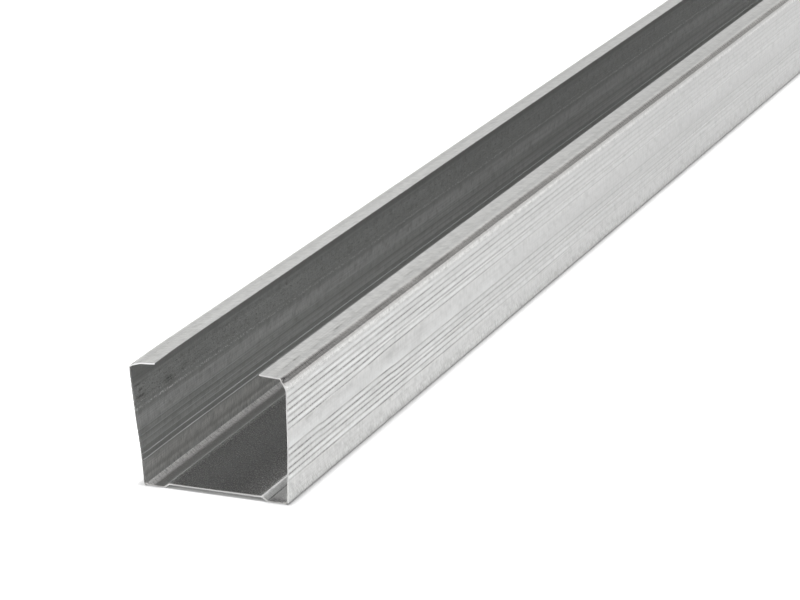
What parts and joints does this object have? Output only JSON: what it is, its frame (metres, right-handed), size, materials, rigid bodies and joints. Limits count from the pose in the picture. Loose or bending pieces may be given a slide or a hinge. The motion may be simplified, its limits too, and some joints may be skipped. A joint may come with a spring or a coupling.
{
  "type": "drywall metal stud",
  "caption": "Lipped channel stud of cold-rolled galvanised sheet, with a stepped web, grooved flanges and bevelled lips, for the upright frame of a plasterboard wall.",
  "frame": {"origin": "on the floor under the middle of the stud: midway along its length and midway between its flanges", "axes": "+Y along the stud, +X out of one flange, +Z from the web towards the open side"},
  "size_m": [0.0528, 2.5, 0.0404],
  "materials": {
    "galvanised_steel": "hot-dip zinc coat, satin, with fine cross grain and rolling marks"
  },
  "bodies": {
    "root": {"stud": "galvanised_steel"}
  },
  "joints": []
}
